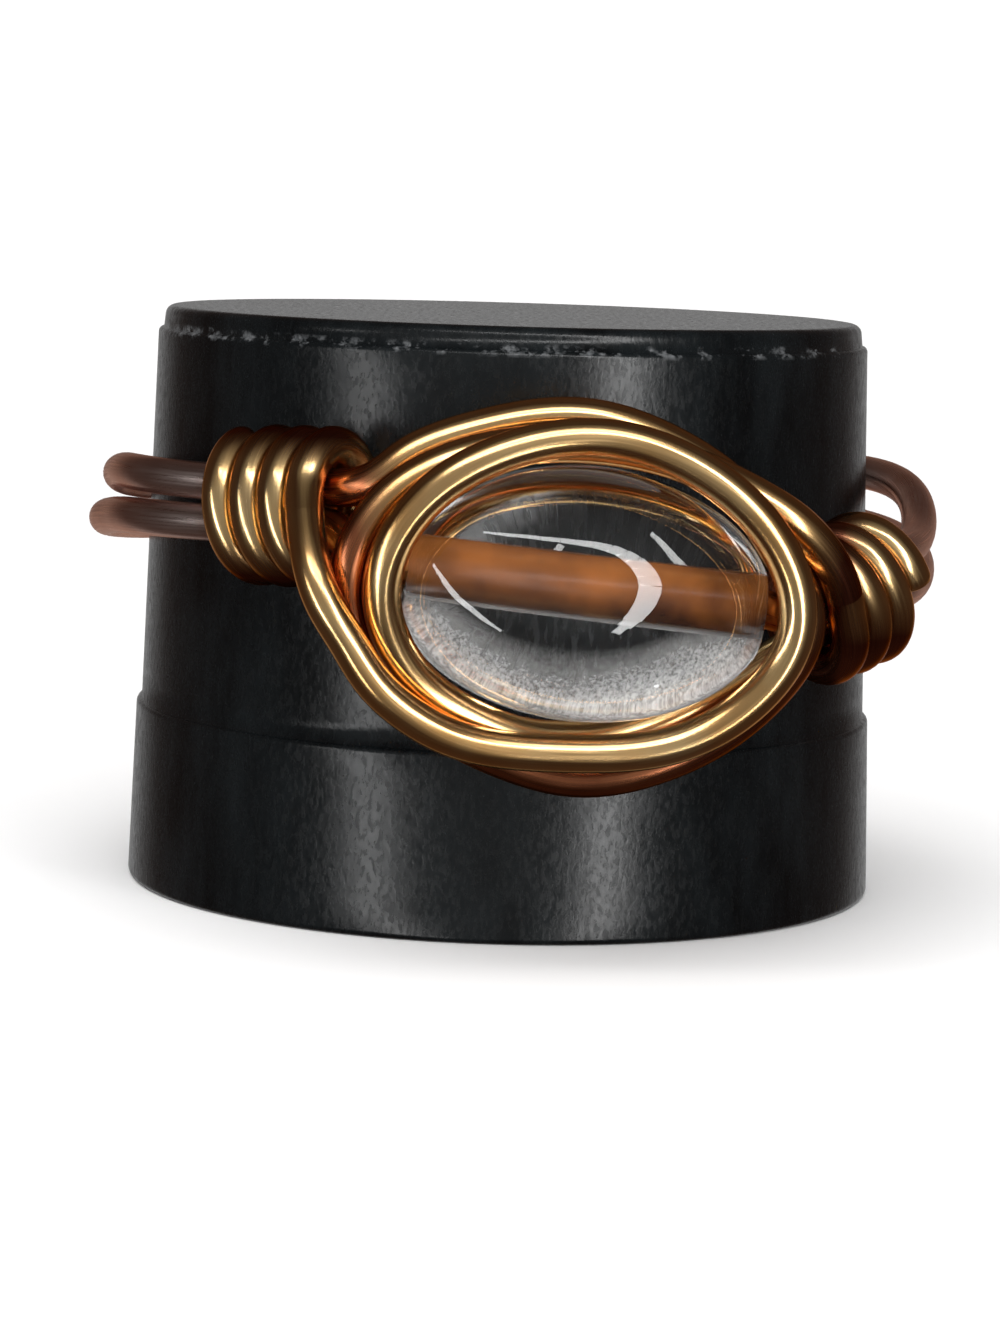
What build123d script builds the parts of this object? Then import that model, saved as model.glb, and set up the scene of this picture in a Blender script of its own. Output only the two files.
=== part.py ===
from build123d import *
import math
import os

import numpy as np

# Wire wrapped ring on a stepped ring stand, in millimetres and degrees.
# The stand's axis is Z, its flat foot is the origin's plane, and the ring's bead faces -Y, with +X to the right.

# One round copper wire makes the whole ring
wire_d = 0.81
# Least free space between two strands that lie side by side
strand_gap = 0.07

# Oval clear bead, drilled along its length
bead_length = 8.1
bead_height = 5.4
bead_thickness = 4.2
# Each tip of the oval is cut flat by this much where the hole comes out
bead_end_flat = 0.25
hole_clearance = 0.14
# The hole runs this much above the bead's middle
hole_lift = 0.15
# Where the bead looks: turned to the right of the stand's front, leaning down, its right end dropped
bead_turn = 8.6
bead_lean = 4.0
bead_roll = 6.0
bead_drop = 0.77

# Stepped stand: lower step, the step that carries the ring, and the short top step.
# Each step tapers upwards and leaves a narrow ledge for the next.
step_foot_d = 16.9
step_taper = 0.2
step_h = 8.65
lower_ledge = 0.15
lower_taper = 0.125
lower_h = 4.15
top_ledge = 0.15
top_step_h = 0.5
shoulder_r = 0.22
foot_round = 0.15
ledge_round_share = 0.8

# The ring on its step
ring_up = 4.5
ring_play = 0.75
seat_gap = 0.2
ring_shift = 0.13

# The two wrapped coils: turns, how each coil's axis leaves the bead (degrees to the back, degrees up),
# the gap between turns, and how far each turn leans along the axis (degrees)
left_turns = 3.25
left_swing = 45.0
left_climb = -2.9
left_turn_gap = 0.07
left_turn_lean = 0.0
right_turns = 3.0
right_swing = 53.6
right_climb = 9.8
right_turn_gap = 0.12
right_turn_lean = 15.0
# Each turn's oval: its half reach across the two cores' plane and along it, in wire diameters
turn_out = 1.25
turn_up = 1.63
# Stations on the straight core strands inside the turns, from the coil's start, in wire diameters,
# how far the cores run on past the last turn, and the stations where each strand leaves for the bead
core_runs = (1.4, 2.7)
core_overrun = 0.75
left_upper_leaves = (-0.35, 0.4)
left_lower_leaves = (0.3,)
right_upper_leaves = (0.5, -0.25)
right_lower_leaves = (0.25,)

# Coil starts in the bead's frame, from the end of the bead, in wire diameters: along, up, towards the front
left_start = (1.34, 1.23, -1.46)
right_start = (1.27, 0.01, -1.15)

# Strand tables round the bead. Each row: clock angle (left 0, top 90, right 180, bottom 270),
# distance outside the bead's outline and distance in front of its middle plane, in wire diameters.
back_swirl = [
    (40, 1.25, -0.80),
    (62, 1.10, -0.80),
    (90, 1.12, -0.74),
    (120, 0.83, -0.55),
    (135, 0.68, -0.48),
    (150, 0.56, -0.35),
    (163, 0.64, 0.16),
    (176, 0.77, 0.78),
    (190, 0.85, 0.70),
    (210, 0.95, 0.25),
    (232, 1.20, 0.00),
    (255, 1.50, -0.08),
    (270, 1.59, -0.40),
    (285, 1.42, -0.50),
    (300, 1.28, -0.35),
    (325, 1.20, 0.00),
    (345, 1.12, 0.24),
    (362, 1.15, 0.50),
    (385, 0.98, 0.34),
    (415, 0.70, 0.22),
    (450, 0.58, 0.28),
    (475, 0.70, 0.50),
    (495, 0.98, 0.70),
    (508, 1.32, 0.68),
]
front_swirl = [
    (-152, 0.50, -0.95),
    (-130, 0.40, -1.05),
    (-105, 0.55, -0.66),
    (-88, 0.58, -0.08),
    (-75, 0.58, 0.33),
    (-50, 0.52, 0.60),
    (-25, 0.40, 0.92),
    (0, 0.36, 1.20),
    (30, 0.48, 1.38),
    (60, 0.72, 1.42),
    (90, 0.90, 1.40),
    (120, 0.66, 1.70),
    (150, 0.40, 1.80),
    (180, 0.33, 1.75),
    (210, 0.35, 1.60),
    (240, 0.53, 1.50),
    (270, 0.60, 1.45),
    (295, 1.04, 1.45),
    (310, 1.25, 1.42),
    (325, 1.38, 1.40),
    (339, 1.48, 1.32),
]
# Joining stations between the bead's end and a coil, from the end of the bead,
# in wire diameters: along, up, towards the front
back_swirl_from_left = [(0.51, 2.25, -0.83)]
back_swirl_to_right = [(1.54, 1.32, 0.25)]
front_swirl_from_right = [(1.12, -0.70, -0.93), (0.62, -1.08, -0.76)]
front_swirl_to_left = [(1.70, -0.90, 1.26), (2.18, 0.15, 0.66)]
core_to_left = [(0.93, 0.18, -0.78), (0.34, 0.02, -0.18)]
core_to_right = [(0.41, -0.10, -0.36)]
# Stations of the strand inside the bead, in shares of its half length
core_in_bead = (0.95, 0.65, 0.0, -0.65, -0.95)

# The band's two strands round the back. Each row: angle from the front (right is positive),
# reach beyond the round, height of the pair's middle, spread of the pair and how much further out
# its lower strand lies, in wire diameters.
band_rows = [
    (-52, 0.37, 0.81, 1.14, 0.00),
    (-70, -0.10, 0.62, 1.23, 0.20),
    (-90, -0.28, 0.14, 1.23, 0.42),
    (-120, -0.08, -0.43, 1.17, 0.20),
    (-150, 0.00, -0.43, 1.11, 0.10),
    (180, 0.00, -0.12, 1.08, 0.00),
    (150, 0.00, 0.15, 1.17, 0.00),
    (117, -0.10, 0.35, 1.60, 0.00),
    (92, -0.15, -0.06, 1.54, 0.00),
    (74, 0.00, -0.64, 1.17, 0.00),
]

# How finely the wire's path is divided: longest straight run and end stub in wire diameters,
# and the largest turn from one run to the next
longest_run = 2.0
end_stub = 0.25
largest_turn = 20.0
# A corner that turns less than twice this, in radians, is passed straight
least_half_turn = 0.002
# A bend starts this share of a run away from its corner
bend_share = 0.45
# Stations to a turn of a coil, and points from one station to the next when the path is smoothed
turn_steps = 16
fine_steps = 40

wire_r = wire_d / 2
strand_step = wire_d + strand_gap
step_r = step_foot_d / 2
lower_top_r = step_r + lower_ledge
lower_foot_r = lower_top_r + lower_taper
step_top_r = step_r - step_taper
top_step_r = step_top_r - top_ledge
ring_z = lower_h + ring_up
step_r_at_ring = step_r - step_taper * ring_up / step_h
band_r = step_r_at_ring + ring_play + wire_r
band_centre_y = -(ring_play - seat_gap)


def unit(v):
    return v / np.linalg.norm(v)


# Bead frame: along its length to the right, up its height, and out towards the viewer
turn, lean, roll = (math.radians(v) for v in (bead_turn, bead_lean, bead_roll))
level_side = np.array([math.cos(turn), math.sin(turn), 0.0])
level_out = np.array([math.sin(turn), -math.cos(turn), 0.0])
world_up = np.array([0.0, 0.0, 1.0])
bead_out = math.cos(lean) * level_out - math.sin(lean) * world_up
leaning_up = math.cos(lean) * world_up + math.sin(lean) * level_out
bead_along = math.cos(roll) * level_side - math.sin(roll) * leaning_up
bead_up = math.cos(roll) * leaning_up + math.sin(roll) * level_side
bead_reach = step_r_at_ring + seat_gap + bead_thickness / 2
bead_centre = bead_reach * level_out + (ring_z - bead_drop) * world_up


def at_bead(along, up, out):
    return bead_centre + along * bead_along + up * bead_up + out * bead_out


def beyond_end(hand, rows, lift=0.0):
    """Stations beyond the bead's left (hand -1) or right (hand 1) end, given in wire diameters."""
    return [at_bead(hand * (bead_length / 2 + a * wire_d), lift + u * wire_d, n * wire_d) for a, u, n in rows]


def round_bead(rows):
    """Stations round the bead: an ellipse grown by the strand's distance outside the bead's outline."""
    stations = []
    for angle, outside, lift in rows:
        a = math.radians(angle)
        along = -(bead_length / 2 + outside * wire_d) * math.cos(a)
        up = (bead_height / 2 + outside * wire_d) * math.sin(a)
        stations.append(at_bead(along, up, lift * wire_d))
    return stations


def round_band(level):
    """Stations of one band strand: level 1 is the upper strand, -1 the lower."""
    stations = []
    for angle, reach, height, spread, offset in band_rows:
        a = math.radians(angle)
        r = band_r + (reach - level * offset / 2) * wire_d
        z = ring_z + (height + level * spread / 2) * wire_d
        stations.append(np.array([ring_shift + r * math.sin(a), band_centre_y - r * math.cos(a), z]))
    return stations


class Coil:
    """Turns of wire wound round two straight core strands that lie one above the other."""

    def __init__(self, hand, start, swing, climb, turns, gap, lean):
        swing, climb = math.radians(swing), math.radians(climb)
        self.hand = hand
        self.turns = turns
        self.pitch = wire_d + gap
        self.lean = math.tan(math.radians(lean))
        self.start = beyond_end(hand, [start])[0]
        flat = math.cos(climb)
        self.axis = np.array([hand * math.cos(swing) * flat, math.sin(swing) * flat, math.sin(climb)])
        self.out = unit(np.array([hand * self.axis[1], -hand * self.axis[0], 0.0]))
        self.up = unit(hand * np.cross(self.out, self.axis))

    def core(self, level, *runs):
        """Stations on a core strand, at these runs along the axis, in wire diameters."""
        lift = level * strand_step / 2 * self.up
        return [self.start + run * wire_d * self.axis + lift for run in runs]

    def core_end(self):
        return self.turns * self.pitch / wire_d + core_overrun

    def wrap(self, first):
        """Stations of the turns: each is an oval round the two cores that steps and leans along the axis."""
        stations = []
        steps = round((self.turns - first) * turn_steps)
        for i in range(steps + 1):
            q = first + (self.turns - first) * i / steps
            a = 2 * math.pi * q
            out = turn_out * wire_d * math.cos(a)
            rise = -self.hand * turn_up * wire_d * math.sin(a)
            run = q * self.pitch - self.lean * rise
            stations.append(self.start + run * self.axis + out * self.out + rise * self.up)
        return stations


left = Coil(-1, left_start, left_swing, left_climb, left_turns, left_turn_gap, left_turn_lean)
right = Coil(1, right_start, right_swing, right_climb, right_turns, right_turn_gap, right_turn_lean)
half_length = bead_length / 2

# The whole wire in order, from its end on the right coil to its end on the left coil
run_of_wire = [
    ("right_coil", right.wrap(0.0)[::-1]),
    (
        "swirl_back_wire",
        beyond_end(1, back_swirl_to_right)
        + round_bead(back_swirl)[::-1]
        + beyond_end(-1, back_swirl_from_left)
        + left.core(1, *left_upper_leaves),
    ),
    (
        "band_wire",
        left.core(1, *core_runs, left.core_end())
        + round_band(1)
        + right.core(1, right.core_end(), *core_runs[::-1], *right_upper_leaves)
        + beyond_end(1, core_to_right, hole_lift)
        + [at_bead(share * half_length, hole_lift, 0.0) for share in core_in_bead]
        + beyond_end(-1, core_to_left[::-1], hole_lift)
        + left.core(-1, *left_lower_leaves, *core_runs, left.core_end())
        + round_band(-1)
        + right.core(-1, right.core_end(), *core_runs[::-1]),
    ),
    (
        "swirl_front_wire",
        right.core(-1, *right_lower_leaves)
        + beyond_end(1, front_swirl_from_right)
        + round_bead(front_swirl)
        + beyond_end(-1, front_swirl_to_left),
    ),
    ("left_coil", left.wrap(0.06)),
]


def smooth(stations):
    """The natural cubic spline through the stations: its points and each station's place among them."""
    p = np.array(stations, float)
    h = np.linalg.norm(np.diff(p, axis=0), axis=1) ** 0.5
    s = np.concatenate([[0.0], np.cumsum(h)])
    n = len(p)
    rows = np.zeros((n, n))
    right_side = np.zeros((n, 3))
    rows[0, 0] = rows[-1, -1] = 1.0
    for i in range(1, n - 1):
        rows[i, i - 1 : i + 2] = h[i - 1], 2.0 * (h[i - 1] + h[i]), h[i]
        right_side[i] = 6.0 * ((p[i + 1] - p[i]) / h[i] - (p[i] - p[i - 1]) / h[i - 1])
    bend = np.linalg.solve(rows, right_side)
    points = []
    for i in range(n - 1):
        w = np.linspace(0.0, h[i], fine_steps, endpoint=False)[:, None]
        slope = (p[i + 1] - p[i]) / h[i] - h[i] * (2.0 * bend[i] + bend[i + 1]) / 6.0
        points.append(p[i] + slope * w + bend[i] * w**2 / 2.0 + (bend[i + 1] - bend[i]) * w**3 / (6.0 * h[i]))
    return np.concatenate(points + [p[-1:]]), np.arange(n) * fine_steps


def thin_out(points, first, last):
    """Keeps the points where the path has run or turned far enough, with a short straight stub at each end."""
    stub = end_stub * wire_d
    kept = [points[0], points[0] + stub * first]
    heading = first
    run = 0.0
    for a, b in zip(points[:-1], points[1:]):
        run += np.linalg.norm(b - a)
        here = unit(b - a)
        turned = math.degrees(math.acos(min(1.0, float(here @ heading))))
        clear = np.linalg.norm(points[-1] - b) > 2.5 * stub and run > stub
        if clear and (run > longest_run * wire_d or turned > largest_turn):
            kept.append(b)
            heading = here
            run = 0.0
    return kept + [points[-1] - stub * last, points[-1]]


def cut_wire():
    """Each node's share of the whole wire: its thinned points, with shared headings where two shares meet."""
    points, places = smooth([station for _, stations in run_of_wire for station in stations])
    shares = {}
    count = 0
    begin = 0
    heading = unit(points[1] - points[0])
    for name, stations in run_of_wire:
        count += len(stations)
        if count < len(places):
            finish = (places[count - 1] + places[count]) // 2
            leaving = unit(points[finish + 1] - points[finish - 1])
        else:
            finish = len(points) - 1
            leaving = unit(points[-1] - points[-2])
        shares[name] = thin_out(points[begin : finish + 1], heading, leaving)
        begin, heading = finish, leaving
    return shares


def bends(points):
    """The tangent arc at each inner point, as large as its two runs allow: its start, middle and end."""
    arcs = []
    for before, corner, after in zip(points[:-2], points[1:-1], points[2:]):
        a, b = unit(corner - before), unit(after - corner)
        half_turn = math.acos(max(-1.0, min(1.0, float(a @ b)))) / 2
        if half_turn < least_half_turn:
            arcs.append(None)
            continue
        back = bend_share * min(np.linalg.norm(corner - before), np.linalg.norm(after - corner))
        rise = back / math.tan(half_turn) * (1 / math.cos(half_turn) - 1)
        arcs.append((corner - back * a, corner + rise * unit(b - a), corner + back * b))
    return arcs


def wire_piece(points):
    """A round wire along straight runs and tangent arcs, with flat ends square to it."""
    edges = []
    at = points[0]
    for arc in bends(points):
        if arc is None:
            continue
        edges.append(Edge.make_line(Vector(*at), Vector(*arc[0])))
        edges.append(Edge.make_three_point_arc(*(Vector(*p) for p in arc)))
        at = arc[2]
    edges.append(Edge.make_line(Vector(*at), Vector(*points[-1])))
    path = Wire(edges)
    section = Plane(origin=Vector(*points[0]), z_dir=Vector(*(points[1] - points[0]))) * Circle(wire_r)
    solid = sweep(section, path=path)
    expected = math.pi * wire_r**2 * path.length
    print("wire length", round(path.length, 2), "volume share", round(solid.volume / expected, 4))
    return solid


def stand():
    """Turned stand: three steps, each a little tapered, with rounded shoulders and a flat foot."""
    step_z = lower_h + step_h
    top_z = step_z + top_step_h
    outline = Polyline(
        (0, 0),
        (lower_foot_r, 0),
        (lower_top_r, lower_h),
        (step_r, lower_h),
        (step_top_r, step_z),
        (top_step_r, step_z),
        (top_step_r, top_z),
        (0, top_z),
        close=True,
    )
    face = make_face(outline)
    edge_rounds = (
        (lower_foot_r, 0, foot_round),
        (lower_top_r, lower_h, ledge_round_share * lower_ledge),
        (step_top_r, step_z, ledge_round_share * top_ledge),
        (top_step_r, top_z, shoulder_r),
    )
    for x, z, radius in edge_rounds:
        corner = min(face.vertices(), key=lambda v: abs(v.X - x) + abs(v.Y - z))
        face = fillet(corner, radius)
    return revolve(Plane.XZ * face, axis=Axis.Z)


def bead():
    """Smooth oval bead: an ellipse turned about its length, flattened front to back, drilled end to end."""
    ends = Pos(0, bead_height / 2) * Rectangle(bead_length - 2 * bead_end_flat, bead_height)
    turned = revolve(Ellipse(half_length, bead_height / 2) & ends, axis=Axis.X)
    oval = scale(turned, by=(1, 1, bead_thickness / bead_height))
    hole = Pos(0, hole_lift) * Rot(0, 90, 0) * Cylinder(wire_r + hole_clearance, 2 * bead_length)
    place = Plane(origin=Vector(*bead_centre), x_dir=Vector(*bead_along), z_dir=Vector(*bead_out))
    return place * (oval - hole)


pieces = {"ring_stand": stand(), "glass_bead": bead()}
for name, points in cut_wire().items():
    pieces[name] = wire_piece(points)

os.makedirs("parts", exist_ok=True)
for name, piece in pieces.items():
    export_step(piece, os.path.join("parts", name + ".step"))
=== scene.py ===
import math

import bpy
import numpy as np
from mathutils import Matrix


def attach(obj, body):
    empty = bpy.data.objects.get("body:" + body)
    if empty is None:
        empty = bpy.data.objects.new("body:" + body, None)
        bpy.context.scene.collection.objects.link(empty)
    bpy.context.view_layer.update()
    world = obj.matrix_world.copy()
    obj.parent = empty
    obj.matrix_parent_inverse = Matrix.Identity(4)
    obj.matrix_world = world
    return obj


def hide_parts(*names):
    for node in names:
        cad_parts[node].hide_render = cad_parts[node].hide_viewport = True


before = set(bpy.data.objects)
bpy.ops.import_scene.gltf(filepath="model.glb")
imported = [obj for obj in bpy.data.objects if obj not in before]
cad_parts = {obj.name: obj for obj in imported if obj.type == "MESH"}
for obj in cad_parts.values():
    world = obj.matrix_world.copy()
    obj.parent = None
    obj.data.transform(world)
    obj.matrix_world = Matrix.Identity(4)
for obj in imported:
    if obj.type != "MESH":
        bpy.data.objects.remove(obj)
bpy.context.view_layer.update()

# Wire wrapped ring on a stepped ring stand, in metres and degrees, in the CAD model's frame: the stand's
# axis is Z, its flat foot is the origin's plane, and the ring's bead faces -Y, with +X to the right.
# The stations of the wire are the CAD model's, in wire diameters.
MM = 0.001

# One round copper wire makes the whole ring, and its two cut ends are rounded
wire_d = 0.81 * MM
strand_gap = 0.07 * MM
cut_end_round = 0.22 * MM

# Oval clear bead: its tips are cut flat where the drilled hole comes out, a little above its middle
bead_length = 8.1 * MM
bead_height = 5.4 * MM
bead_thickness = 4.2 * MM
bead_end_flat = 0.25 * MM
hole_clearance = 0.14 * MM
hole_lift = 0.15 * MM
hole_mouth_round = 0.05 * MM
# Where the bead looks: turned to the right of the stand's front, leaning down, its right end dropped
bead_turn = 8.6
bead_lean = 4.0
bead_roll = 6.0
bead_drop = 0.77 * MM

# Stepped stand: lower step, the step that carries the ring, and the short top step. Each step tapers
# upwards and leaves a narrow ledge for the next.
step_foot_d = 16.9 * MM
step_taper = 0.2 * MM
step_h = 8.65 * MM
lower_ledge = 0.15 * MM
lower_taper = 0.125 * MM
lower_h = 4.15 * MM
top_ledge = 0.15 * MM
top_step_h = 0.5 * MM
shoulder_r = 0.22 * MM
foot_round = 0.15 * MM
ledge_round = 0.12 * MM

# The ring on its step
ring_up = 4.5 * MM
ring_play = 0.75 * MM
seat_gap = 0.2 * MM
ring_shift = 0.13 * MM

# The two wrapped coils: turns, how each coil's axis leaves the bead (degrees to the back, degrees up),
# the gap between turns, and how far each turn leans along the axis
left_turns = 3.25
left_swing = 45.0
left_climb = -2.9
left_turn_gap = 0.07 * MM
left_turn_lean = 0.0
right_turns = 3.0
right_swing = 53.6
right_climb = 9.8
right_turn_gap = 0.12 * MM
right_turn_lean = 15.0
# Each turn's oval: its half reach across the two cores' plane and along it
turn_out = 1.25
turn_up = 1.63
# Stations on the straight core strands inside the turns, from the coil's start, how far the cores run on
# past the last turn, and the stations where each strand leaves for the bead
core_runs = (1.4, 2.7)
core_overrun = 0.75
left_upper_leaves = (-0.35, 0.4)
left_lower_leaves = (0.3,)
right_upper_leaves = (0.5, -0.25)
right_lower_leaves = (0.25,)
# Coil starts in the bead's frame, from the end of the bead: along, up, towards the front
left_start = (1.34, 1.23, -1.46)
right_start = (1.27, 0.01, -1.15)
# Where each coil's first turn begins, in turns past the axis' start
left_wrap_from = 0.06
right_wrap_from = 0.0

# Strands round the bead: clock angle (left 0, top 90, right 180, bottom 270), distance outside the bead's
# outline and distance in front of its middle plane
back_swirl = (
    (40, 1.25, -0.80),
    (62, 1.10, -0.80),
    (90, 1.12, -0.74),
    (120, 0.83, -0.55),
    (135, 0.68, -0.48),
    (150, 0.56, -0.35),
    (163, 0.64, 0.16),
    (176, 0.77, 0.78),
    (190, 0.85, 0.70),
    (210, 0.95, 0.25),
    (232, 1.20, 0.00),
    (255, 1.50, -0.08),
    (270, 1.59, -0.40),
    (285, 1.42, -0.50),
    (300, 1.28, -0.35),
    (325, 1.20, 0.00),
    (345, 1.12, 0.24),
    (362, 1.15, 0.50),
    (385, 0.98, 0.34),
    (415, 0.70, 0.22),
    (450, 0.58, 0.28),
    (475, 0.70, 0.50),
    (495, 0.98, 0.70),
    (508, 1.32, 0.68),
)
front_swirl = (
    (-152, 0.50, -0.95),
    (-130, 0.40, -1.05),
    (-105, 0.55, -0.66),
    (-88, 0.58, -0.08),
    (-75, 0.58, 0.33),
    (-50, 0.52, 0.60),
    (-25, 0.40, 0.92),
    (0, 0.36, 1.20),
    (30, 0.48, 1.38),
    (60, 0.72, 1.42),
    (90, 0.90, 1.40),
    (120, 0.66, 1.70),
    (150, 0.40, 1.80),
    (180, 0.33, 1.75),
    (210, 0.35, 1.60),
    (240, 0.53, 1.50),
    (270, 0.60, 1.45),
    (295, 1.04, 1.45),
    (310, 1.25, 1.42),
    (325, 1.38, 1.40),
    (339, 1.48, 1.32),
)
# Stations between the bead's end and a coil, from the end of the bead: along, up, towards the front
back_swirl_from_left = ((0.51, 2.25, -0.83),)
back_swirl_to_right = ((1.54, 1.32, 0.25),)
front_swirl_from_right = ((1.12, -0.70, -0.93), (0.62, -1.08, -0.76))
front_swirl_to_left = ((1.70, -0.90, 1.26), (2.18, 0.15, 0.66))
core_to_left = ((0.93, 0.18, -0.78), (0.34, 0.02, -0.18))
core_to_right = ((0.41, -0.10, -0.36),)
# Stations of the strand inside the bead, in shares of its half length
core_in_bead = (0.95, 0.65, 0.0, -0.65, -0.95)

# The band's two strands round the back: angle from the front (right is positive), reach beyond the round,
# height and spread of the pair, and how much further out its lower strand lies
band_rows = (
    (-52, 0.37, 0.81, 1.14, 0.00),
    (-70, -0.10, 0.62, 1.23, 0.20),
    (-90, -0.28, 0.14, 1.23, 0.42),
    (-120, -0.08, -0.43, 1.17, 0.20),
    (-150, 0.00, -0.43, 1.11, 0.10),
    (180, 0.00, -0.12, 1.08, 0.00),
    (150, 0.00, 0.15, 1.17, 0.00),
    (117, -0.10, 0.35, 1.60, 0.00),
    (92, -0.15, -0.06, 1.54, 0.00),
    (74, 0.00, -0.64, 1.17, 0.00),
)
# Stations to a turn of a coil, and points from one station to the next along the smooth line
turn_steps = 16
fine_steps = 40

wire_r = wire_d / 2
strand_step = wire_d + strand_gap
half_length = bead_length / 2
step_r = step_foot_d / 2
lower_top_r = step_r + lower_ledge
lower_foot_r = lower_top_r + lower_taper
step_top_r = step_r - step_taper
top_step_r = step_top_r - top_ledge
step_top_z = lower_h + step_h
ring_z = lower_h + ring_up
step_r_at_ring = step_r - step_taper * ring_up / step_h
band_r = step_r_at_ring + ring_play + wire_r
band_centre_y = -(ring_play - seat_gap)

# How finely the surfaces are meshed: sides to a section, rows along it and the steps between rows
wire_sides = 32
wire_row_step = 0.11 * MM
stand_sides = 256
stand_row_step = 0.5 * MM
profile_arc_rows = 7
bead_sides = 160
bead_rows = 140
hole_rows = 24
mouth_rows = 6


def unit(v):
    """A vector, or each of several, at a length of one."""
    return v / np.linalg.norm(v, axis=-1, keepdims=True)


def round_places(count):
    """Even angles once round, in radians."""
    return np.arange(count) / count * 2 * math.pi


# Bead frame: along its length to the right, up its height, and out towards the viewer
turn, lean, roll = (math.radians(v) for v in (bead_turn, bead_lean, bead_roll))
level_side = np.array([math.cos(turn), math.sin(turn), 0.0])
level_out = np.array([math.sin(turn), -math.cos(turn), 0.0])
world_up = np.array([0.0, 0.0, 1.0])
bead_out = math.cos(lean) * level_out - math.sin(lean) * world_up
leaning_up = math.cos(lean) * world_up + math.sin(lean) * level_out
bead_along = math.cos(roll) * level_side - math.sin(roll) * leaning_up
bead_up = math.cos(roll) * leaning_up + math.sin(roll) * level_side
bead_reach = step_r_at_ring + seat_gap + bead_thickness / 2
bead_centre = bead_reach * level_out + (ring_z - bead_drop) * world_up
bead_axes = np.stack([bead_along, bead_up, bead_out])
# A direction that no part of the wire runs along
off_wire = bead_out + 0.31 * bead_up


def at_bead(places):
    """Points from their (along, up, out) places in the bead's frame: centre plus each share of its axes."""
    return bead_centre + np.atleast_2d(places) @ bead_axes


def beyond_end(hand, rows, lift=0.0):
    """Stations past the bead's left (-1) or right (1) end: half its length plus the rows in wire diameters,
    with the lift added to their height."""
    places = np.array(rows) * wire_d
    places[:, 0] = hand * (half_length + places[:, 0])
    places[:, 1] += lift
    return at_bead(places)


def round_bead(rows):
    """Stations on an ellipse grown evenly beyond the bead's outline, lifted off its middle plane."""
    angle, outside, lift = np.array(rows).T
    a = np.radians(angle)
    along = -(half_length + outside * wire_d) * np.cos(a)
    up = (bead_height / 2 + outside * wire_d) * np.sin(a)
    return at_bead(np.stack([along, up, lift * wire_d], axis=1))


def round_band(level):
    """Stations of one band strand on a circle round the stand, half the spread above or below the middle."""
    angle, reach, height, spread, offset = np.array(band_rows).T
    a = np.radians(angle)
    r = band_r + (reach - level * offset / 2) * wire_d
    z = ring_z + (height + level * spread / 2) * wire_d
    return np.stack([ring_shift + r * np.sin(a), band_centre_y - r * np.cos(a), z], axis=1)


class Coil:
    """Turns of wire wound round two straight core strands that lie one above the other."""

    def __init__(self, hand, start, swing, climb, turns, gap, lean):
        swing, climb = math.radians(swing), math.radians(climb)
        self.hand = hand
        self.turns = turns
        self.pitch = wire_d + gap
        self.lean = math.tan(math.radians(lean))
        self.start = beyond_end(hand, [start])[0]
        flat = math.cos(climb)
        self.axis = np.array([hand * math.cos(swing) * flat, math.sin(swing) * flat, math.sin(climb)])
        self.out = unit(np.array([hand * self.axis[1], -hand * self.axis[0], 0.0]))
        self.up = unit(hand * np.cross(self.out, self.axis))

    def core(self, level, *runs):
        """Stations on a core strand: the start, plus each run along the axis, half a strand up or down."""
        lift = level * strand_step / 2 * self.up
        return self.start + np.outer(np.array(runs) * wire_d, self.axis) + lift

    def core_end(self):
        """How far along the axis the core strands run straight, in wire diameters."""
        return self.turns * self.pitch / wire_d + core_overrun

    def wrap(self, first):
        """Stations of the turns: ovals round both cores, which step along the axis and lean along it by the
        lean times their rise."""
        q = np.linspace(first, self.turns, round((self.turns - first) * turn_steps) + 1)
        a = 2 * math.pi * q
        out = turn_out * wire_d * np.cos(a)
        rise = -self.hand * turn_up * wire_d * np.sin(a)
        run = q * self.pitch - self.lean * rise
        return self.start + np.outer(run, self.axis) + np.outer(out, self.out) + np.outer(rise, self.up)


def smooth(stations):
    """Natural cubic spline through the stations, with the square root of each chord as its run."""
    p = np.asarray(stations)
    h = np.linalg.norm(np.diff(p, axis=0), axis=1) ** 0.5
    n = len(p)
    inner = np.arange(1, n - 1)
    rows = np.zeros((n, n))
    rows[0, 0] = rows[-1, -1] = 1.0
    rows[inner, inner - 1] = h[:-1]
    rows[inner, inner] = 2.0 * (h[:-1] + h[1:])
    rows[inner, inner + 1] = h[1:]
    slopes = np.diff(p, axis=0) / h[:, None]
    load = np.zeros((n, 3))
    load[1:-1] = 6.0 * np.diff(slopes, axis=0)
    bend = np.linalg.solve(rows, load)
    w = np.arange(fine_steps)[None, :, None] / fine_steps * h[:, None, None]
    start_slope = slopes - h[:, None] * (2.0 * bend[:-1] + bend[1:]) / 6.0
    change = (bend[1:] - bend[:-1])[:, None] / (6.0 * h[:, None, None])
    points = p[:-1, None] + start_slope[:, None] * w + bend[:-1, None] * w**2 / 2.0 + change * w**3
    return np.concatenate([points.reshape(-1, 3), p[-1:]])


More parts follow.
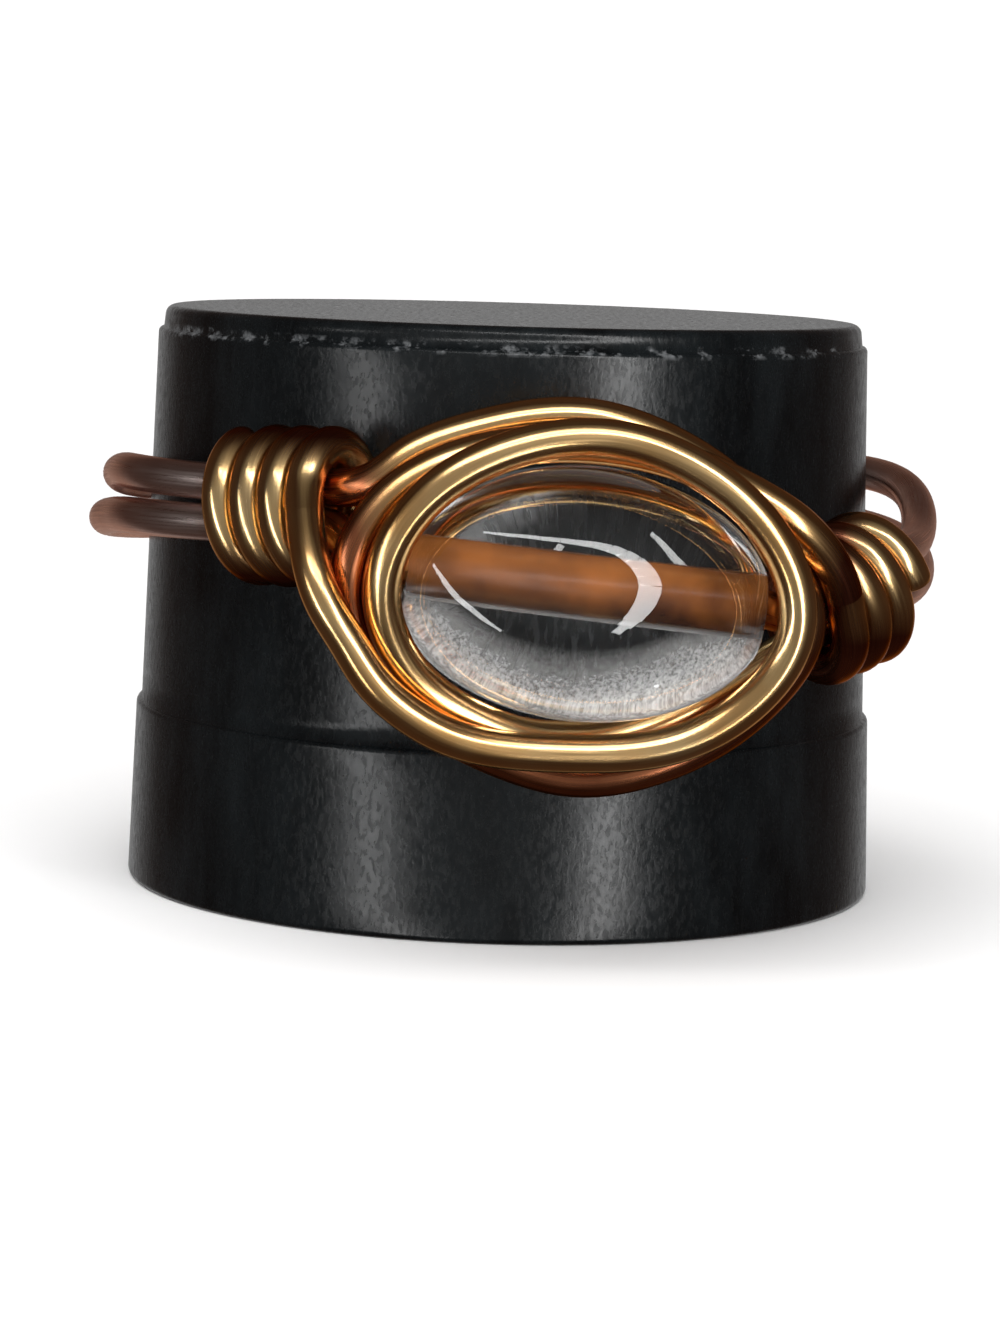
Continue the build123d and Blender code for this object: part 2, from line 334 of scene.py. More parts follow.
def wire_stretches():
    """Stations of the whole wire in order, from its end on the right coil to its end on the left coil."""
    left = Coil(-1, left_start, left_swing, left_climb, left_turns, left_turn_gap, left_turn_lean)
    right = Coil(1, right_start, right_swing, right_climb, right_turns, right_turn_gap, right_turn_lean)
    in_bead = np.outer(core_in_bead, [half_length, 0.0, 0.0]) + [0.0, hole_lift, 0.0]
    return {
        "right_coil": [right.wrap(right_wrap_from)[::-1]],
        "swirl_back_wire": [
            beyond_end(1, back_swirl_to_right),
            round_bead(back_swirl)[::-1],
            beyond_end(-1, back_swirl_from_left),
            left.core(1, *left_upper_leaves),
        ],
        "band_wire": [
            left.core(1, *core_runs, left.core_end()),
            round_band(1),
            right.core(1, right.core_end(), *core_runs[::-1], *right_upper_leaves),
            beyond_end(1, core_to_right, hole_lift),
            at_bead(in_bead),
            beyond_end(-1, core_to_left[::-1], hole_lift),
            left.core(-1, *left_lower_leaves, *core_runs, left.core_end()),
            round_band(-1),
            right.core(-1, right.core_end(), *core_runs[::-1]),
        ],
        "swirl_front_wire": [
            right.core(-1, *right_lower_leaves),
            beyond_end(1, front_swirl_from_right),
            round_bead(front_swirl),
            beyond_end(-1, front_swirl_to_left),
        ],
        "left_coil": [left.wrap(left_wrap_from)],
    }


def evenly(line, step):
    """The line's points moved along it to about even steps, their runs along it, and the runs before."""
    run = np.concatenate([[0.0], np.cumsum(np.linalg.norm(np.diff(line, axis=0), axis=1))])
    at = np.linspace(0.0, run[-1], round(run[-1] / step) + 1)
    return np.stack([np.interp(at, run, line[:, k]) for k in range(3)], axis=1), at, run


def mesh_piece(name, points, quads, caps=()):
    """A mesh object from a point array, a quad array and flat end faces, given as lists of point numbers.
    The quads are shaded smooth, and each end face has a sharp rim."""
    mesh = bpy.data.meshes.new(name)
    mesh.from_pydata(points.tolist(), [], quads.tolist() + [list(c) for c in caps])
    shade = np.zeros(len(mesh.polygons), bool)
    shade[: len(quads)] = True
    mesh.polygons.foreach_set("use_smooth", shade)
    mesh.update()
    if len(caps):
        ends = np.zeros(len(points), bool)
        ends[np.concatenate([np.array(c) for c in caps])] = True
        pairs = np.empty(len(mesh.edges) * 2, np.int32)
        mesh.edges.foreach_get("vertices", pairs)
        mesh.edges.foreach_set("use_edge_sharp", ends[pairs.reshape(-1, 2)].all(axis=1))
    piece = bpy.data.objects.new(name, mesh)
    bpy.context.scene.collection.objects.link(piece)
    return piece


def grid_quads(rows, columns, row_loop=False):
    """Quads of a grid whose columns close on themselves, and whose rows may too."""
    i, j = np.meshgrid(np.arange(rows if row_loop else rows - 1), np.arange(columns), indexing="ij")
    a = i * columns + j
    b = i * columns + (j + 1) % columns
    c = (i + 1) % rows * columns + (j + 1) % columns
    d = (i + 1) % rows * columns + j
    return np.stack([a, b, c, d], axis=-1).reshape(-1, 4)


def end_caps(rows, columns):
    """The first ring of a tube's grid of points, turned round, and its last ring."""
    last = (rows - 1) * columns
    return range(columns - 1, -1, -1), range(last, last + columns)


def carried_sides(line):
    """Two side directions at each point, carried along the line without twist: a plain pair, square to the
    heading and to one fixed direction, is turned back by the sum of the turns it makes between points."""
    headings = unit(np.gradient(line, axis=0))
    plain = unit(np.cross(headings, off_wire))
    other = np.cross(headings, plain)
    before = plain[:-1] - np.sum(plain[:-1] * headings[1:], axis=1, keepdims=True) * headings[1:]
    turns = np.arctan2(np.sum(before * other[1:], axis=1), np.sum(before * plain[1:], axis=1))
    a = np.concatenate([[0.0], np.cumsum(turns)])[:, None]
    return np.cos(a) * plain + np.sin(a) * other, np.cos(a) * other - np.sin(a) * plain


def wire_rings(line, run):
    """Rings of the whole wire: at each point of the line a circle of cosine times the carried side plus sine
    times the other side. Towards the wire's two cut ends the rings shrink on a quarter circle."""
    sides, others = carried_sides(line)
    a = round_places(wire_sides)
    from_end = np.minimum(run, run[-1] - run)
    near = np.clip(1.0 - from_end / cut_end_round, 0.0, 1.0)
    radius = wire_r - cut_end_round * (1.0 - np.sqrt(1.0 - near**2))
    rings = np.cos(a)[None, :, None] * sides[:, None] + np.sin(a)[None, :, None] * others[:, None]
    return line[:, None] + radius[:, None, None] * rings


def round_wire(name, rings, run):
    """One stretch of the wire, closed by a flat face at each end. Its attribute holds the cosine and sine of
    each point's place round the wire and its run in millimetres, for the draw lines."""
    quads = grid_quads(len(rings), wire_sides)
    piece = mesh_piece(name, rings.reshape(-1, 3), quads, end_caps(len(rings), wire_sides))
    a = np.tile(round_places(wire_sides), len(rings))
    drawn = np.stack([np.cos(a), np.sin(a), np.repeat(run / MM, wire_sides)], axis=1)
    attribute = piece.data.attributes.new("drawn", "FLOAT_VECTOR", "POINT")
    attribute.data.foreach_set("vector", drawn.astype(np.float32).ravel())
    return piece


def make_wire():
    """All five stretches of the one wire. It is cut halfway between their end stations, and both sides of a
    cut share the ring there."""
    stretches = wire_stretches()
    counts = [sum(len(s) for s in group) for group in stretches.values()]
    line = smooth(np.concatenate([s for group in stretches.values() for s in group]))
    even_line, run, run_before = evenly(line, wire_row_step)
    cut_places = np.rint((np.cumsum(counts)[:-1] - 0.5) * fine_steps).astype(int)
    cuts = [0, *np.searchsorted(run, run_before[cut_places]), len(run) - 1]
    rings = wire_rings(even_line, run)
    return {
        name: round_wire(name + "_round", rings[a : b + 1], run[a : b + 1])
        for name, a, b in zip(stretches, cuts[:-1], cuts[1:])
    }


def arc_points(centre, radius, first, last):
    """Points on an arc of a profile, from the first angle to the last, in degrees."""
    a = np.radians(np.linspace(first, last, profile_arc_rows))
    return np.stack([centre[0] + radius * np.cos(a), centre[1] + radius * np.sin(a)], axis=1)


def stand_profile():
    """Radius and height up the stand's outline: three tapered steps with a rounded foot and ledges."""
    foot = arc_points((lower_foot_r - foot_round, foot_round), foot_round, -90, 0)
    ledges = (
        (lower_top_r, lower_h, ledge_round),
        (step_top_r, step_top_z, ledge_round),
        (top_step_r, step_top_z + top_step_h, shoulder_r),
    )
    return [foot, *(arc_points((r - round_r, z - round_r), round_r, 0, 90) for r, z, round_r in ledges)]


def along_profile(points, step):
    """Extra points on the long straight stretches of a profile, so that no run is longer than the step."""
    out = [points[:1]]
    for a, b in zip(points[:-1], points[1:]):
        n = max(1, math.ceil(np.linalg.norm(b - a) / step))
        out.append(a + (b - a) * (np.arange(1, n + 1) / n)[:, None])
    return np.concatenate(out)


def make_stand():
    """Turned stand: its profile turned about Z. A point is (radius cos a, radius sin a, height)."""
    profile = along_profile(np.concatenate(stand_profile()), stand_row_step)
    a = round_places(stand_sides)
    r, z = profile[:, :1], profile[:, 1:]
    points = np.stack([r * np.cos(a), r * np.sin(a), z + 0 * a], axis=-1).reshape(-1, 3)
    quads = grid_quads(len(profile), stand_sides)
    return mesh_piece("ring_stand_turned", points, quads, end_caps(len(profile), stand_sides))


def oval_rows(along, half_height, half_thickness, lift=0.0):
    """Rows of points across the bead: a point is (along, lift + half height cos a, half thickness sin a)."""
    a = round_places(bead_sides)
    up = lift + half_height[:, None] * np.cos(a)
    out = half_thickness[:, None] * np.sin(a)
    return np.stack([along[:, None] + 0 * a, up, out], axis=-1)


def make_bead():
    """Oval bead: at each place along its length the section is an ellipse whose half axes are the bead's,
    times the root of one less the square of the place over the half length. A round hole runs through it."""
    face = half_length - bead_end_flat
    face_angle = np.arccos(face / half_length)
    s = np.linspace(face_angle, math.pi - face_angle, bead_rows)
    outer = oval_rows(half_length * np.cos(s), bead_height / 2 * np.sin(s), bead_thickness / 2 * np.sin(s))
    hole_r = wire_r + hole_clearance
    b = np.linspace(0, math.pi / 2, mouth_rows)
    mouth_x = face - hole_mouth_round * (1 - np.cos(b))
    mouth_r = hole_r + hole_mouth_round * (1 - np.sin(b))
    wall_x = np.linspace(-face, face, hole_rows)[2:-2]
    hole_x = np.concatenate([-mouth_x, wall_x, mouth_x[::-1]])
    hole_radii = np.concatenate([mouth_r, np.full(len(wall_x), hole_r), mouth_r[::-1]])
    hole = oval_rows(hole_x, hole_radii, hole_radii, hole_lift)
    points = at_bead(np.concatenate([outer, hole]).reshape(-1, 3))
    quads = grid_quads(len(outer) + len(hole), bead_sides, row_loop=True)[:, ::-1]
    return mesh_piece("glass_bead_oval", points, quads)


pieces = make_wire()
for node, piece in pieces.items():
    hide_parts(node)
    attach(piece, "root")
stand = make_stand()
bead = make_bead()
# Light goes through the glass without a shadow, to the hole and the painted caustic specks inside it
bead.visible_shadow = False
for piece, node, slot in ((stand, "ring_stand", "stand"), (bead, "glass_bead", "glass")):
    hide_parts(node)
    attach(piece, "root")


# Materials. A tone of copper is its two linear colours and its range of roughness.
copper_edge = (0.75, 0.42, 0.30)
bright_copper = ((0.82, 0.47, 0.18), (0.95, 0.69, 0.34), 0.15, 0.27)
# Darker red, maroon and core tones: painted shade on the wire
shaded_red_copper = ((0.26, 0.075, 0.035), (0.52, 0.20, 0.09), 0.22, 0.34)
shaded_maroon_copper = ((0.12, 0.032, 0.020), (0.34, 0.12, 0.065), 0.22, 0.34)
shaded_core_copper = ((0.30, 0.11, 0.035), (0.62, 0.29, 0.10), 0.25, 0.40)
dull_copper = ((0.64, 0.50, 0.47), (0.92, 0.80, 0.76), 0.24, 0.38)
# Each wire's first tone, then its changes: axis, where a change begins and is whole in millimetres, and tone
wire_tones = {
    # Left coil: maroon painted shade on the tops and bottoms of its turns
    "left_coil": (bright_copper, ("Z", 10.4, 11.0, shaded_maroon_copper), ("Z", 8.7, 7.9, shaded_maroon_copper)),
    # Right coil: maroon painted shade at its bottom and on its end next to the bead
    "right_coil": (bright_copper, ("Z", 7.8, 6.8, shaded_maroon_copper), ("X", 7.9, 7.0, shaded_maroon_copper)),
    # Back strand: red painted shade low down and on its left, maroon painted shade at its right end
    "swirl_back_wire": (
        bright_copper,
        ("Z", 9.4, 6.4, shaded_red_copper),
        ("X", -1.8, -3.2, shaded_red_copper),
        ("X", 6.2, 7.1, shaded_maroon_copper),
    ),
    "swirl_front_wire": (bright_copper,),
    # Band strand: dark core copper is painted shade inside the bead's hole and the coils, turning dull
    # towards the back
    "band_wire": (shaded_core_copper, ("Y", -8.6, -7.6, dull_copper)),
}
# Levels of a change plus the clouds between which the tone turns, and the relief of the draw lines
tone_change = (0.6, 1.4)
draw_line_strength = 0.05
draw_line_depth = 0.02 * MM

# Glass, and the colour on the wall of its hole: a painted glow of the copper strand inside, amber above,
# with painted shade of dark brown below
clear_glass = (0.97, 0.975, 0.97)
glass_ior = 1.52
# Painted shade (dark brown, below) and painted copper glow (amber, above) on the hole's wall
hole_painted_shade = (0.018, 0.006, 0.003)
hole_painted_glow = (0.14, 0.046, 0.010)
painted_glow_cover = 0.88
painted_glow_levels = (0.25, 0.85)
shade_height_share = 0.6
hole_wall_roughness = 0.25
hole_wall_gloss = 0.1
clean_gloss = 0.5
# The way, in the bead's own frame, in which the painted colour turns from the painted shade of dark brown to
# the painted amber glow
shade_to_glow_way = (-0.09, 1.0, 0.0)
# Painted glow round the hole and painted caustic of white specks, from here on: places in the bead's own
# frame, in millimetres
hole_wall_reach = 0.6
hole_wall_edge = 0.04
shade_to_glow_reach = 0.7
# Centre and half sizes of the clear oval that the painted caustic's white specks lie outside of, and its
# soft edge in sizes
caustic_hollow = ((0.0, 0.3, 0.0), (3.15, 1.56, 0.0))
caustic_edge = (0.78, 1.15)
caustic_towards_ends = (0.3, 2.6)
caustic_middle_share = 0.5
caustic_below = (-0.3, -0.7)
caustic_behind = (-0.3, -1.3)
caustic_speck_levels = (0.36, 0.64)
caustic_speck_cover = (0.35, 0.95)

# Black lacquer of the stand, its grain, and the chips along its upper ledge: how far they reach up and down
# it, and the share of that in which they are whole
black_low = (0.0015, 0.002, 0.0023)
black_high = (0.007, 0.009, 0.010)
worn_grey = (0.13, 0.135, 0.14)
lacquer_gloss = 0.4
lacquer_roughness = (0.15, 0.34)
patch_levels = (0.3, 0.75)
grain_levels = (0.35, 0.65)
grain_strength = 0.6
grain_depth = 0.01 * MM
chip_levels = (0.52, 0.62)
chip_reach = 0.16 * MM
chip_core = 0.3

# Levels between which most of a noise lies. Each noise has its scales along the axes, detail and roughness.
noise_levels = (0.3, 0.7)
draw_lines = ((9.0, 9.0, 0.5), 3.0, 0.5)
copper_clouds = ((430.0, 430.0, 430.0), 4.0, 0.5)
glow_patches = ((900.0, 900.0, 900.0), 3.0, 0.5)
# Specks of the painted caustic on the bead's lower back
caustic_specks = ((15.0, 19.0, 42.0), 3.0, 0.7)
lacquer_grain = ((9000.0, 9000.0, 4200.0), 5.0, 0.65)
lacquer_patches = ((700.0, 700.0, 260.0), 4.0, 0.6)
chip_specks = ((6500.0, 6500.0, 5000.0), 2.0, 0.5)
chips = ((1900.0, 1900.0, 2600.0), 4.0, 0.7)


def opaque(colour):
    """A colour with full cover."""
    return (*colour, 1)


class Finish:
    """The nodes of a finish, or of the room's light. Each method adds what it needs and gives its output."""

    def __init__(self, tree):
        self.tree = tree

    def node(self, kind, **inputs):
        """A new node of a kind, with outputs of other nodes or plain values at the inputs of these names."""
        node = self.tree.nodes.new("ShaderNode" + kind)
        for name, value in inputs.items():
            self.put(value, node.inputs[name])
        return node

    def put(self, value, socket):
        """Joins another node's output to a socket, or sets a plain value on it."""
        if isinstance(value, bpy.types.NodeSocket):
            self.tree.links.new(value, socket)
        else:
            socket.default_value = value

    def place(self):
        """The place on the piece, in metres."""
        return self.node("TexCoord").outputs["Object"]

    def noise(self, source, scales, detail, rough):
        """Noise on the source coordinates, with its own scale along each of them."""
        stretched = self.node("Mapping", Vector=source, Scale=scales).outputs["Vector"]
        noise = self.node("TexNoise", Vector=stretched, Scale=1.0, Detail=detail, Roughness=rough)
        return noise.outputs["Fac"]

    def colours(self, source, *stops):
        """A colour for each level of the source, blended between the stops."""
        ramp = self.node("ValToRGB", Fac=source)
        elements = ramp.color_ramp.elements
        while len(elements) < len(stops):
            elements.new(0.5)
        for element, (level, colour) in zip(elements, stops):
            element.position = level
            element.color = opaque(colour)
        return ramp.outputs["Color"]

    def spread(self, source, levels, to_levels=(0.0, 1.0)):
        """The source's range between two levels, moved to two other levels and held there."""
        moved = self.node("MapRange", Value=source)
        limits = (*levels, *to_levels)
        for name, level in zip(("From Min", "From Max", "To Min", "To Max"), limits):
            self.put(level, moved.inputs[name])
        return moved.outputs["Result"]

    def blend(self, kind, share, first, second):
        """From the first colour (RGBA) or value (FLOAT) to the second, as the share goes from 0 to 1."""
        mix = self.tree.nodes.new("ShaderNodeMix")
        mix.data_type = kind
        for name, value in (("Factor", share), ("A", first), ("B", second)):
            self.put(value, mix.inputs[name])
        return mix.outputs["Result"]

    def math(self, operation, *values, kind="Math"):
        """What an operation makes of values, or of vectors where the kind is VectorMath."""
        result = self.tree.nodes.new("ShaderNode" + kind)
        result.operation = operation
        for value, socket in zip(values, result.inputs):
            self.put(value, socket)
        return result.outputs["Value"]

    def product(self, *values):
        """All values multiplied."""
        total = values[0]
        for value in values[1:]:
            total = self.math("MULTIPLY", total, value)
        return total

    def far_from(self, source, centre, sizes):
        """How many sizes the source lies from a centre. A size of nothing leaves that axis out."""
        scales = [1.0 / size if size else 0.0 for size in sizes]
        shift = [-c * s for c, s in zip(centre, scales)]
        moved = self.node("Mapping", Vector=source, Scale=scales, Location=shift).outputs["Vector"]
        return self.math("LENGTH", moved, kind="VectorMath")

    def parts(self, source):
        """The X, Y and Z parts of a place."""
        return self.node("SeparateXYZ", Vector=source).outputs

    def relief(self, height, strength, depth):
        """A surface direction with the height's fine relief."""
        return self.node("Bump", Height=height, Strength=strength, Distance=depth).outputs["Normal"]


def new_material(name):
    """A new material, its finish, and the inputs of its skin."""
    material = bpy.data.materials.new(name)
    material.use_nodes = True
    tree = material.node_tree
    return material, Finish(tree), tree.nodes["Principled BSDF"].inputs


def copper_finish(name, first, *changes):
    """Bare copper wire with fine draw lines along it and soft cloudy colour. Each change blends another tone
    in along one axis of the place; the darker red and maroon tones paint shade."""
    material, finish, skin = new_material(name)
    place = finish.place()
    parts = finish.parts(place)
    drawn = finish.node("Attribute")
    drawn.attribute_name = "drawn"
    lines = finish.noise(drawn.outputs["Vector"], *draw_lines)
    cloud = finish.noise(place, *copper_clouds)

    def tone_looks(low, high, smoothest, roughest):
        """Colour and roughness of a tone."""
        colour = finish.colours(cloud, *zip(noise_levels, (low, high)))
        return colour, finish.spread(lines, noise_levels, (smoothest, roughest))

    colour, rough = tone_looks(*first)
    for axis, begin, whole, tone in changes:
        share = finish.spread(parts[axis], (begin * MM, whole * MM))
        share = finish.spread(finish.math("ADD", share, cloud), tone_change)
        next_colour, next_rough = tone_looks(*tone)
        colour = finish.blend("RGBA", share, colour, next_colour)
        rough = finish.blend("FLOAT", share, rough, next_rough)
    finish.put(1.0, skin["Metallic"])
    finish.put(opaque(copper_edge), skin["Specular Tint"])
    finish.put(colour, skin["Base Color"])
    finish.put(rough, skin["Roughness"])
    finish.put(finish.relief(lines, draw_line_strength, draw_line_depth), skin["Normal"])
    return material


def bead_places(finish):
    """The place in the bead's own frame in millimetres: along it, up and out towards the viewer."""
    turned = finish.node("Mapping", Vector=finish.place())
    turned.vector_type = "TEXTURE"
    finish.put(bead_centre, turned.inputs["Location"])
    finish.put(Matrix(bead_axes.T.tolist()).to_euler(), turned.inputs["Rotation"])
    finish.put((MM, MM, MM), turned.inputs["Scale"])
    return turned.outputs["Vector"]


def hole_glow_and_shade(finish, in_bead):
    """How much of the painted colour there is at a place, and its colour: a painted copper glow, amber
    above, and painted shade of dark brown below.
    """
    lift = hole_lift / MM
    off_axis = finish.far_from(in_bead, (0.0, lift, 0.0), (0.0, 1.0, 1.0))
    on_hole_wall = finish.spread(off_axis, (hole_wall_reach, hole_wall_reach + hole_wall_edge), (1.0, 0.0))
    # The painted glow grows upwards: painted light above, painted shade below
    height = finish.math("DOT_PRODUCT", in_bead, shade_to_glow_way, kind="VectorMath")
    fade_levels = (lift - shade_to_glow_reach, lift + shade_to_glow_reach)
    lit_above = finish.spread(height, fade_levels, (0.0, shade_height_share))
    patchy = finish.noise(finish.place(), *glow_patches)
    patchy = finish.spread(patchy, noise_levels, (0.0, 1.0 - shade_height_share))
    stops = zip(painted_glow_levels, (hole_painted_shade, hole_painted_glow))
    return on_hole_wall, finish.colours(finish.math("ADD", lit_above, patchy), *stops)


def painted_caustic(finish, in_bead):
    """How much the white specks of the painted caustic cover at a place: outside the clear oval, below it
    and behind, most towards the bead's ends."""
    parts = finish.parts(in_bead)
    outside = finish.spread(finish.far_from(in_bead, *caustic_hollow), caustic_edge)
    off_middle = finish.math("ABSOLUTE", parts["X"])
    towards_ends = finish.spread(off_middle, caustic_towards_ends, (caustic_middle_share, 1.0))
    below = finish.spread(parts["Y"], caustic_below)
    behind = finish.spread(parts["Z"], caustic_behind)
    specks = finish.spread(finish.noise(in_bead, *caustic_specks), caustic_speck_levels, caustic_speck_cover)
    return finish.product(outside, towards_ends, below, behind, specks)


def glass_finish():
    """Clear polished glass. The wall of its drilled hole is ground, and painted with a glow of the copper in
    it, amber above and painted shade of dark brown below. A crescent of white specks on its lower back
    paints a caustic."""
    material, finish, skin = new_material("clear_glass")
    in_bead = bead_places(finish)
    on_hole_wall, painted_glow = hole_glow_and_shade(finish, in_bead)
    covered = finish.spread(on_hole_wall, (0.0, 1.0), (0.0, painted_glow_cover))
    solid = finish.math("ADD", painted_caustic(finish, in_bead), covered)
    gloss = finish.spread(on_hole_wall, (0.0, 1.0), (clean_gloss, hole_wall_gloss))
    finish.put(glass_ior, skin["IOR"])
    # Base colour: the painted copper glow and shade on the hole's wall
    finish.put(finish.blend("RGBA", on_hole_wall, opaque(clear_glass), painted_glow), skin["Base Color"])
    finish.put(finish.spread(solid, (0.0, 1.0), (1.0, 0.0)), skin["Transmission Weight"])
    finish.put(finish.spread(on_hole_wall, (0.0, 1.0), (0.0, hole_wall_roughness)), skin["Roughness"])
    finish.put(gloss, skin["Specular IOR Level"])
    return material


def stand_finish():
    """Black lacquer over upright grain: the grain is in its gloss and relief, and the lacquer is chipped to
    a pale grey here and there along the ledge under the top step."""
    material, finish, skin = new_material("black_grained_stand")
    place = finish.place()
    grain = finish.noise(place, *lacquer_grain)
    patches = finish.noise(place, *lacquer_patches)
    black = finish.colours(patches, *zip(patch_levels, (black_low, black_high)))
    specks = finish.noise(place, *chip_specks)
    pale = finish.colours(specks, *zip(noise_levels, (black_high, worn_grey)))
    off_ledge = finish.math("ABSOLUTE", finish.math("SUBTRACT", finish.parts(place)["Z"], step_top_z))
    near_ledge = finish.spread(off_ledge, (chip_core * chip_reach, chip_reach), (1.0, 0.0))
    chipped = finish.product(near_ledge, finish.spread(finish.noise(place, *chips), chip_levels))
    finish.put(lacquer_gloss, skin["Specular IOR Level"])
    finish.put(finish.blend("RGBA", chipped, black, pale), skin["Base Color"])
    finish.put(finish.spread(grain, grain_levels, lacquer_roughness), skin["Roughness"])
    finish.put(finish.relief(grain, grain_strength, grain_depth), skin["Normal"])
    return material


for node, piece in pieces.items():
    piece.data.materials.append(copper_finish(f"{node}_copper", *wire_tones[node]))
bead.data.materials.append(glass_finish())
stand.data.materials.append(stand_finish())


# Camera: where the photograph was taken from, worked out from the stand's edges
photo_size = (1000, 1333)
camera_focal = 3977.0
camera_place = np.array([-0.078 * MM, -93.14 * MM, ring_z + 7.89 * MM])
camera_down = math.radians(7.07)
camera_roll = math.radians(1.73)
sensor_width = 36.0
nearest_seen = 0.005
farthest_seen = 10.0


def turned_to(x, y, z):
    """The turn whose own axes lie along three directions."""
    return Matrix(np.stack([x, y, z], axis=1).tolist()).to_4x4()


def make_camera():
    """The photograph's camera. Its focal length in pixels, over the photograph's longer side, is the lens
    over the sensor's width."""
    data = bpy.data.cameras.new("camera")
    data.sensor_fit = "AUTO"
    data.sensor_width = sensor_width
    data.lens = camera_focal / max(photo_size) * sensor_width
    data.clip_start = nearest_seen
    data.clip_end = farthest_seen
    camera = bpy.data.objects.new("camera", data)
    bpy.context.scene.collection.objects.link(camera)
    ahead = np.array([0.0, math.cos(camera_down), -math.sin(camera_down)])
    right = np.array([1.0, 0.0, 0.0])
    up = np.cross(right, ahead)
    x = math.cos(camera_roll) * right + math.sin(camera_roll) * up
    y = math.cos(camera_roll) * up - math.sin(camera_roll) * right
    camera.matrix_world = Matrix.Translation(camera_place.tolist()) @ turned_to(x, y, -ahead)
    bpy.context.scene.camera = camera


make_camera()


# Stage and lights. Ways are azimuth and elevation from the bead in degrees.
floor_half = 0.9
floor_columns = 41
floor_rows = 81
sweep_from = 0.15
sweep_rise = 1.6
floor_grey = 0.88
floor_roughness = 0.9

lamp_distance = 0.11
lamp_radiance = 9.0
panel_steps = fine_steps // 2
# Arcs of the lamp: azimuth, elevation and width
lamp_arcs = (
    (
        (-34, 43, 1.2),
        (-22, 41, 2.4),
        (-8, 39, 3.2),
        (8, 36, 3.8),
        (22, 33, 5.5),
        (31, 28, 7.0),
        (36, 18, 8.5),
        (37, 6, 8.5),
        (34, -7, 7.5),
        (30, -18, 6.0),
        (25, -28, 2.0),
    ),
    ((-61, 14, 1.5), (-48, 0, 4.0), (-40, -12, 4.5), (-32, -21, 4.0), (-26, -29, 3.0), (-20, -35, 1.5)),
)
overhead_way = (-20.0, 68.0)
overhead_distance = 0.5
overhead_softness = math.radians(75.0)
overhead_strength = 3.4
top_softbox_way = (-4.0, 51.0)
top_softbox_size = (0.10, 0.02)
top_softbox_radiance = 3.0
bead_fill_sides = {"left": -48.0, "right": 48.0}
bead_fill_elevation = 30.0
bead_fill_size = (0.06, 0.06)
bead_fill_radiance = 15.0

room_way = (0.0, 18.0)
room_levels = (
    (0.03, (0.50, 0.50, 0.50)),
    (0.15, (0.060, 0.036, 0.028)),
    (0.70, (0.030, 0.018, 0.014)),
    (0.97, (0.26, 0.26, 0.26)),
)
backdrop = (0.95, 0.95, 0.95)


def make_floor():
    """Pale sweep: flat round the stand, then rising behind it. Its height is the square of the run past a
    line, times its rise."""
    x = np.linspace(-floor_half, floor_half, floor_columns)
    y = np.linspace(-floor_half, floor_half, floor_rows)
    gx, gy = np.meshgrid(x, y)
    z = np.maximum(gy - sweep_from, 0.0) ** 2 * sweep_rise
    points = np.stack([gx, gy, z], axis=-1).reshape(-1, 3)
    i, j = np.meshgrid(np.arange(len(y) - 1), np.arange(len(x) - 1), indexing="ij")
    a = i * len(x) + j
    quads = np.stack([a, a + 1, a + len(x) + 1, a + len(x)], axis=-1).reshape(-1, 4)
    floor = mesh_piece("floor", points, quads)
    floor.visible_glossy = False
    floor.visible_transmission = False
    floor.visible_shadow = False
    material, finish, skin = new_material("pale_sweep")
    finish.put((floor_grey, floor_grey, floor_grey, 1), skin["Base Color"])
    finish.put(floor_roughness, skin["Roughness"])
    floor.data.materials.append(material)


def toward(azimuth, elevation):
    """Unit direction from the bead. Azimuth 0 is the camera's side and grows to the right."""
    a, e = np.radians(azimuth), np.radians(elevation)
    return np.array([np.sin(a) * np.cos(e), -np.cos(a) * np.cos(e), np.sin(e)])


def add_light(name, kind, back, x_axis, distance):
    """A light at a distance from the bead that shines along the opposite of its back direction."""
    data = bpy.data.lights.new(name, kind)
    light = bpy.data.objects.new(name, data)
    bpy.context.scene.collection.objects.link(light)
    x = unit(x_axis - x_axis @ back * back)
    place = bead_centre + back * distance
    light.matrix_world = Matrix.Translation(place.tolist()) @ turned_to(x, np.cross(back, x), back)
    return light, data


def add_panel(name, back, x_axis, width, height, radiance):
    """A flat bright rectangle at the lamp's distance from the bead. Its energy is four times its area times
    its radiance."""
    light, data = add_light(name, "AREA", back, x_axis, lamp_distance)
    data.shape = "RECTANGLE"
    data.size = width
    data.size_y = height
    data.energy = 4.0 * width * height * radiance
    return light


def ring_lamp():
    """Arcs of a round lamp that stands round the camera: flat panels from place to place along a smooth
    curve through each arc's stations, each as wide as the arc is there."""
    for number, stations in enumerate(lamp_arcs):
        azimuth, elevation, width = smooth(stations)[::panel_steps].T
        ways = toward(azimuth, elevation).T
        for step, (a, b) in enumerate(zip(ways[:-1], ways[1:])):
            length = float(np.linalg.norm(b - a)) * lamp_distance
            across = math.radians(width[step : step + 2].mean()) * lamp_distance
            add_panel(f"lamp_{number}_{step}", unit(a + b), b - a, length, across, lamp_radiance)


def softbox(name, way, size, radiance):
    """Wide soft light in one direction from the bead, its long sides level."""
    back = toward(*way)
    return add_panel(name, back, np.array([-back[1], back[0], 0.0]), *size, radiance)


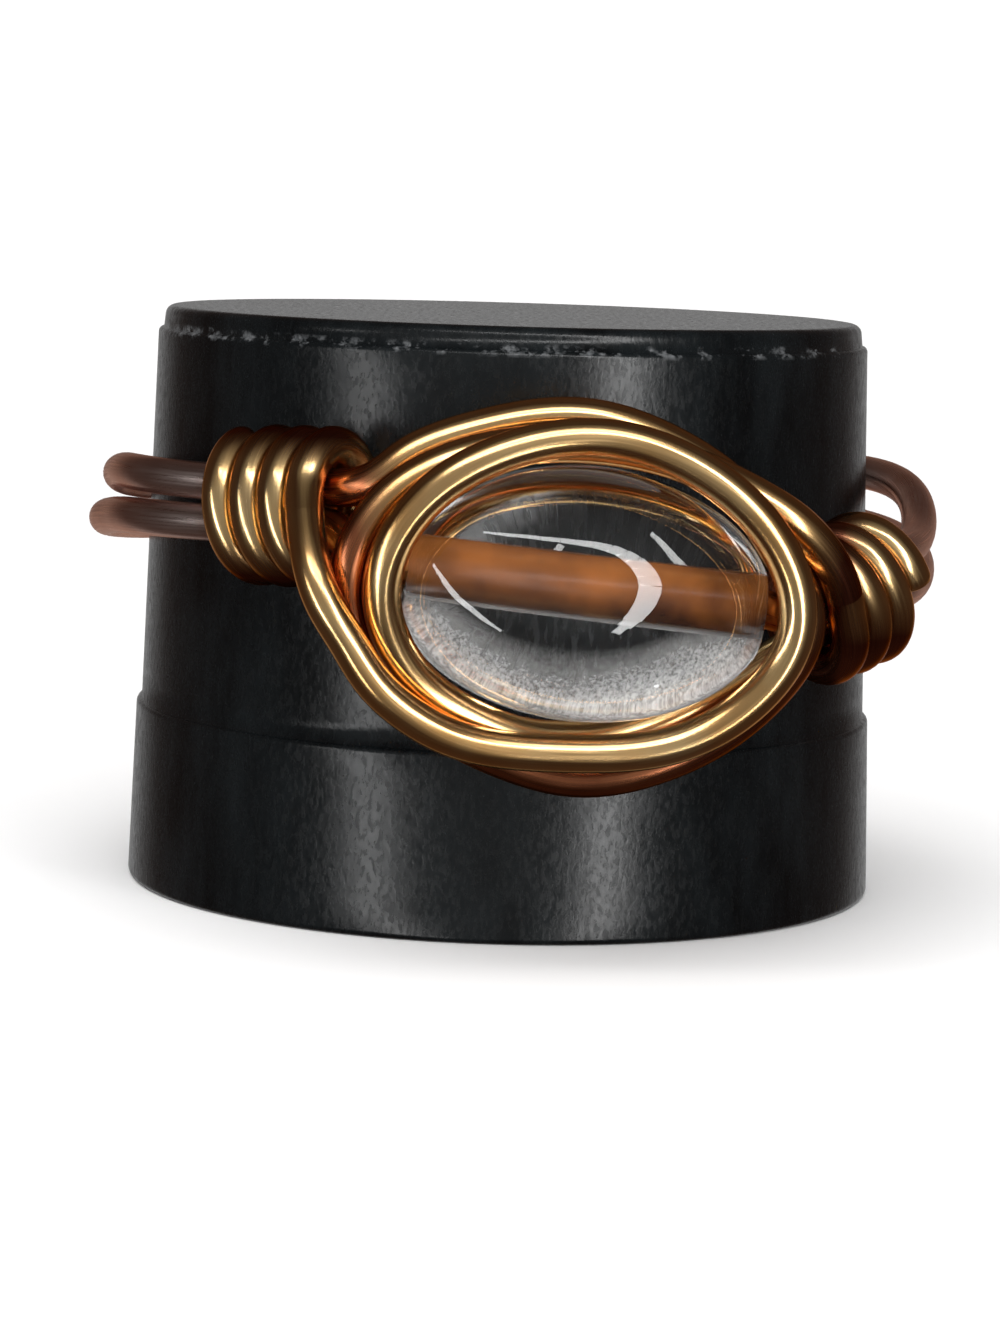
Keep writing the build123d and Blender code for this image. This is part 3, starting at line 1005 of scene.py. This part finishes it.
def hide_from_mirrors(light):
    """Keeps a light out of reflections and out of what is seen through the glass."""
    light.visible_glossy = False
    light.visible_transmission = False


def light_only(light, name, receivers):
    """Keeps a light for these pieces alone."""
    chosen = bpy.data.collections.new(name)
    for piece in receivers:
        chosen.objects.link(piece)
    light.light_linking.receiver_collection = chosen


def overhead_fill():
    """Soft light from above for the floor, which polished pieces don't mirror."""
    side = np.array([1.0, 0.0, 0.0])
    light, data = add_light("overhead_fill", "SUN", toward(*overhead_way), side, overhead_distance)
    data.angle = overhead_softness
    data.energy = overhead_strength
    hide_from_mirrors(light)


def top_light():
    """Light for the upper sides of the two strands that run over the bead's top."""
    light = softbox("top_softbox", top_softbox_way, top_softbox_size, top_softbox_radiance)
    light_only(light, "top_strands", [pieces["swirl_back_wire"], pieces["swirl_front_wire"]])


def bead_fill():
    """Light from both sides that reaches the inside of the bead's back through its front."""
    for side, azimuth in bead_fill_sides.items():
        way = (azimuth, bead_fill_elevation)
        light = softbox(f"{side}_bead_fill", way, bead_fill_size, bead_fill_radiance)
        hide_from_mirrors(light)
        light_only(light, f"{side}_bead_alone", [bead])


def make_world():
    """Pale ground that only the camera sees. As light the world is a room, dim at its sides and paler behind
    the camera and straight ahead of it."""
    world = bpy.data.worlds.new("studio")
    world.use_nodes = True
    room = Finish(world.node_tree)
    light = world.node_tree.nodes["Background"]
    way = room.node("TexCoord").outputs["Generated"]
    facing = room.math("DOT_PRODUCT", way, toward(*room_way), kind="VectorMath")
    room.put(room.colours(room.spread(facing, (-1.0, 1.0)), *room_levels), light.inputs["Color"])
    seen = room.node("Background", Color=opaque(backdrop))
    mix = room.node("MixShader", Fac=room.node("LightPath").outputs["Is Camera Ray"])
    room.put(light.outputs[0], mix.inputs[1])
    room.put(seen.outputs[0], mix.inputs[2])
    room.put(mix.outputs[0], world.node_tree.nodes["World Output"].inputs["Surface"])
    bpy.context.scene.world = world


make_floor()
make_world()
ring_lamp()
overhead_fill()
top_light()
bead_fill()
bpy.context.scene.view_settings.view_transform = "Standard"
